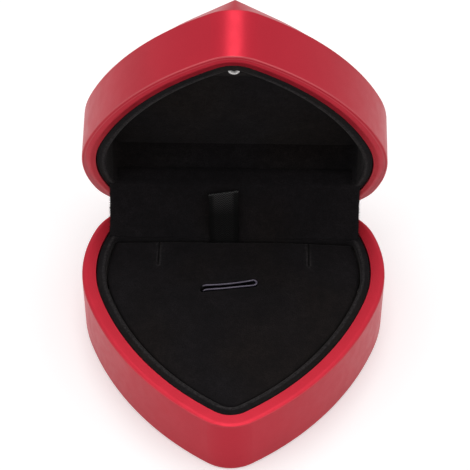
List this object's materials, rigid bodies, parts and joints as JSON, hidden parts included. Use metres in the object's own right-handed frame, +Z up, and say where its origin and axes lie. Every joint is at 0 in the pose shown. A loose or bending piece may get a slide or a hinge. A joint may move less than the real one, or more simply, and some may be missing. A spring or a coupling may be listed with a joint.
{
  "type": "heart-shaped jewellery box",
  "caption": "Heart-shaped hinged presentation box in red lacquer with a velvet lining, a slotted lift-up pad, a ribbon tab and a lamp that lights when the lid opens.",
  "frame": {"origin": "on the underside of the base, on the middle line of the heart, where the heart is widest", "axes": "+Z up out of the base, +X across the lobes, -Y towards the tip of the heart; the lid stands open"},
  "size_m": [0.08, 0.0909, 0.0933],
  "materials": {
    "red_lacquer": "satin lacquer",
    "liner_flock": "flocked",
    "velvet": "velvet",
    "grosgrain": "ribbed ribbon",
    "slot_binding": "gloss",
    "grey_card": "greyboard",
    "steel": "nickel plated",
    "cell_can": "polished",
    "lamp_holder": "moulded",
    "lamp_lens": "clear",
    "board_green": "solder mask",
    "wire_sleeve": "sleeved",
    "switch_black": "moulded",
    "switch_tan": "moulded"
  },
  "bodies": {
    "base": {"base_shell": "red_lacquer", "base_liner": "liner_flock", "base_hinge_leaf_left": "steel", "base_hinge_leaf_right": "steel", "hinge_pin_left": "steel", "hinge_pin_right": "steel", "friction_washers": "steel", "base_hinge_screws": "steel", "hinge_flap": "velvet"},
    "lid": {"lid_shell": "red_lacquer", "lid_crown": "red_lacquer", "lid_liner": "liner_flock", "led_bezel": "lamp_holder", "led_lamp": "lamp_lens", "led_wires": "wire_sleeve", "circuit_board": "board_green", "board_screws": "steel", "coin_cell": "cell_can", "cell_clip": "steel", "switch_body": "switch_black", "lid_hinge_leaf_left": "steel", "lid_hinge_leaf_right": "steel", "lid_hinge_screws": "steel"},
    "insert": {"insert_card": "grey_card", "insert_pad": "velvet", "slot_edging": "slot_binding", "ribbon_tab": "grosgrain"},
    "plunger": {"switch_plunger": "switch_tan"}
  },
  "joints": [
    {"name": "lid_hinge", "type": "hinge", "parent": "base", "child": "lid", "pos_m": [0, 0.0222, 0.01802], "axis": [1, 0, 0], "range_deg": [0, 74.8], "deforming": ["hinge_flap", "ribbon_tab"]},
    {"name": "insert_tilt", "type": "hinge", "parent": "base", "child": "insert", "pos_m": [0, -0.04543, 0.0151], "axis": [1, 0, 0], "range_deg": [0, 10]},
    {"name": "switch_press", "type": "slide", "parent": "lid", "child": "plunger", "axis": [0, 0.965, 0.2622], "range_m": [0, 0.0012]}
  ],
  "couplings": [
    {"joint": "switch_press", "follows": "lid_hinge", "m_per_rad": 0.000919}
  ]
}
